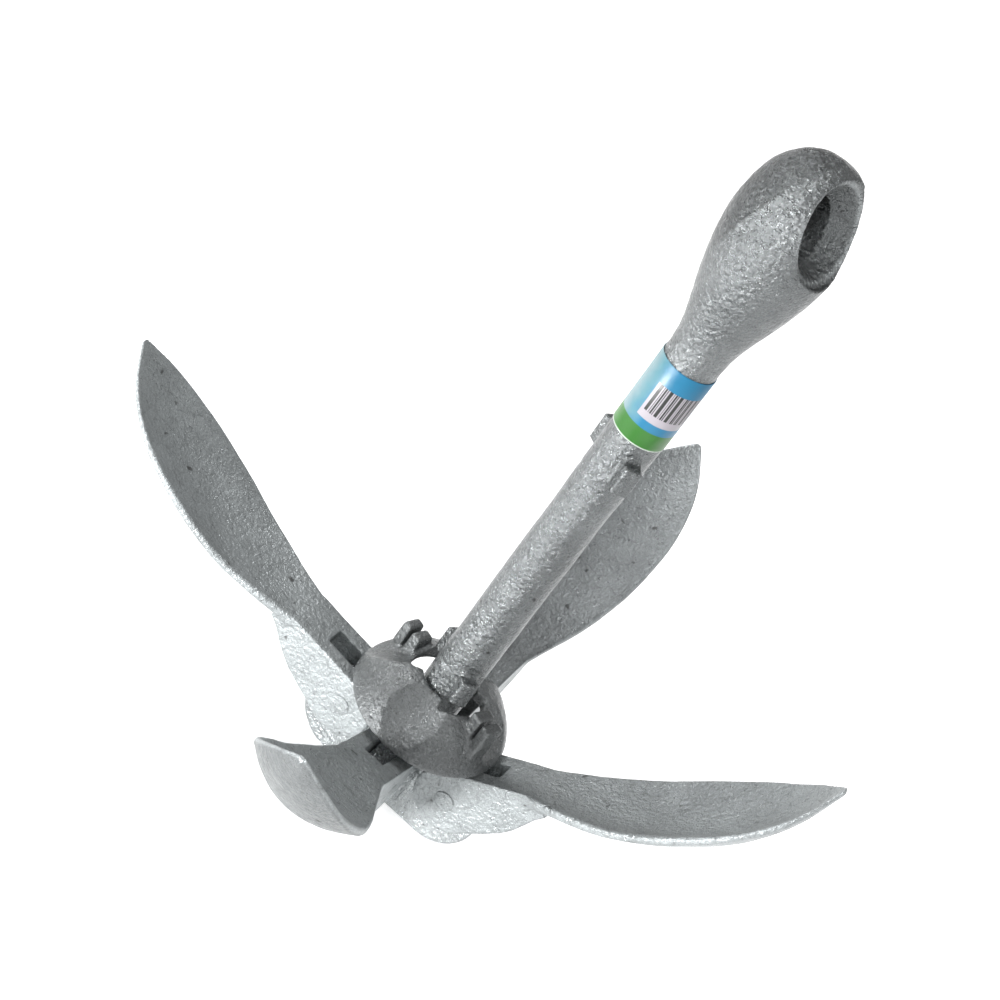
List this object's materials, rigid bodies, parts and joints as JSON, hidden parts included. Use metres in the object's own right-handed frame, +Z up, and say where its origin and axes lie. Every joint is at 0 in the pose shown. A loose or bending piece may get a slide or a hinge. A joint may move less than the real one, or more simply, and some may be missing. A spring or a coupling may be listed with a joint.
{
  "type": "boat anchor",
  "caption": "Galvanised folding grapnel anchor: pinned spoon flukes round a bulb-eyed shank, held open or folded by a sliding collar with keyways.",
  "frame": {"origin": "middle of the crown's underside, on the shank's axis, where the anchor stands", "axes": "+Z up along the shank towards the rope eye; +X towards the right fluke and -X towards the left one; -Y towards the front fluke. The flukes are up to 2.3 degrees off these directions."},
  "size_m": [0.3734, 0.3657, 0.388],
  "materials": {
    "zinc": "hot-dip galvanised casting, orange-peel satin",
    "pin": "hot-dip galvanised over the hammered ends",
    "label": "printed film with a blue band and a green band"
  },
  "bodies": {
    "shank": {"eye": "zinc", "rod": "zinc", "crown": "zinc", "pin_left": "pin", "pin_right": "pin", "pin_front": "pin", "pin_rear": "pin", "label": "label"},
    "fluke_left": {"fluke_left": "zinc"},
    "fluke_right": {"fluke_right": "zinc"},
    "fluke_front": {"fluke_front": "zinc"},
    "fluke_rear": {"fluke_rear": "zinc"},
    "collar": {"collar": "zinc"}
  },
  "joints": [
    {"name": "fold_left", "type": "hinge", "parent": "shank", "child": "fluke_left", "pos_m": [-0.03397, -0.00136, 0.036], "axis": [-0.0401, 0.9992, 0], "range_deg": [0, 69.3]},
    {"name": "fold_right", "type": "hinge", "parent": "shank", "child": "fluke_right", "pos_m": [0.034, -0.00012, 0.036], "axis": [-0.0035, -1, 0], "range_deg": [0, 43.5]},
    {"name": "fold_front", "type": "hinge", "parent": "shank", "child": "fluke_front", "pos_m": [0.00047, -0.034, 0.036], "axis": [-0.9999, -0.014, 0], "range_deg": [0, 52.3]},
    {"name": "fold_rear", "type": "hinge", "parent": "shank", "child": "fluke_rear", "pos_m": [0.00047, 0.034, 0.036], "axis": [0.9999, -0.014, 0], "range_deg": [0, 53]},
    {"name": "collar_slide", "type": "slide", "parent": "shank", "child": "collar", "axis": [0, 0, 1], "range_m": [0, 0.205]}
  ],
  "couplings": [
    {"joint": "fold_right", "follows": "fold_left", "ratio": 0.62771},
    {"joint": "fold_front", "follows": "fold_left", "ratio": 0.75469},
    {"joint": "fold_rear", "follows": "fold_left", "ratio": 0.76479},
    {"joint": "collar_slide", "follows": "fold_left", "m_per_rad": 0.1694}
  ]
}
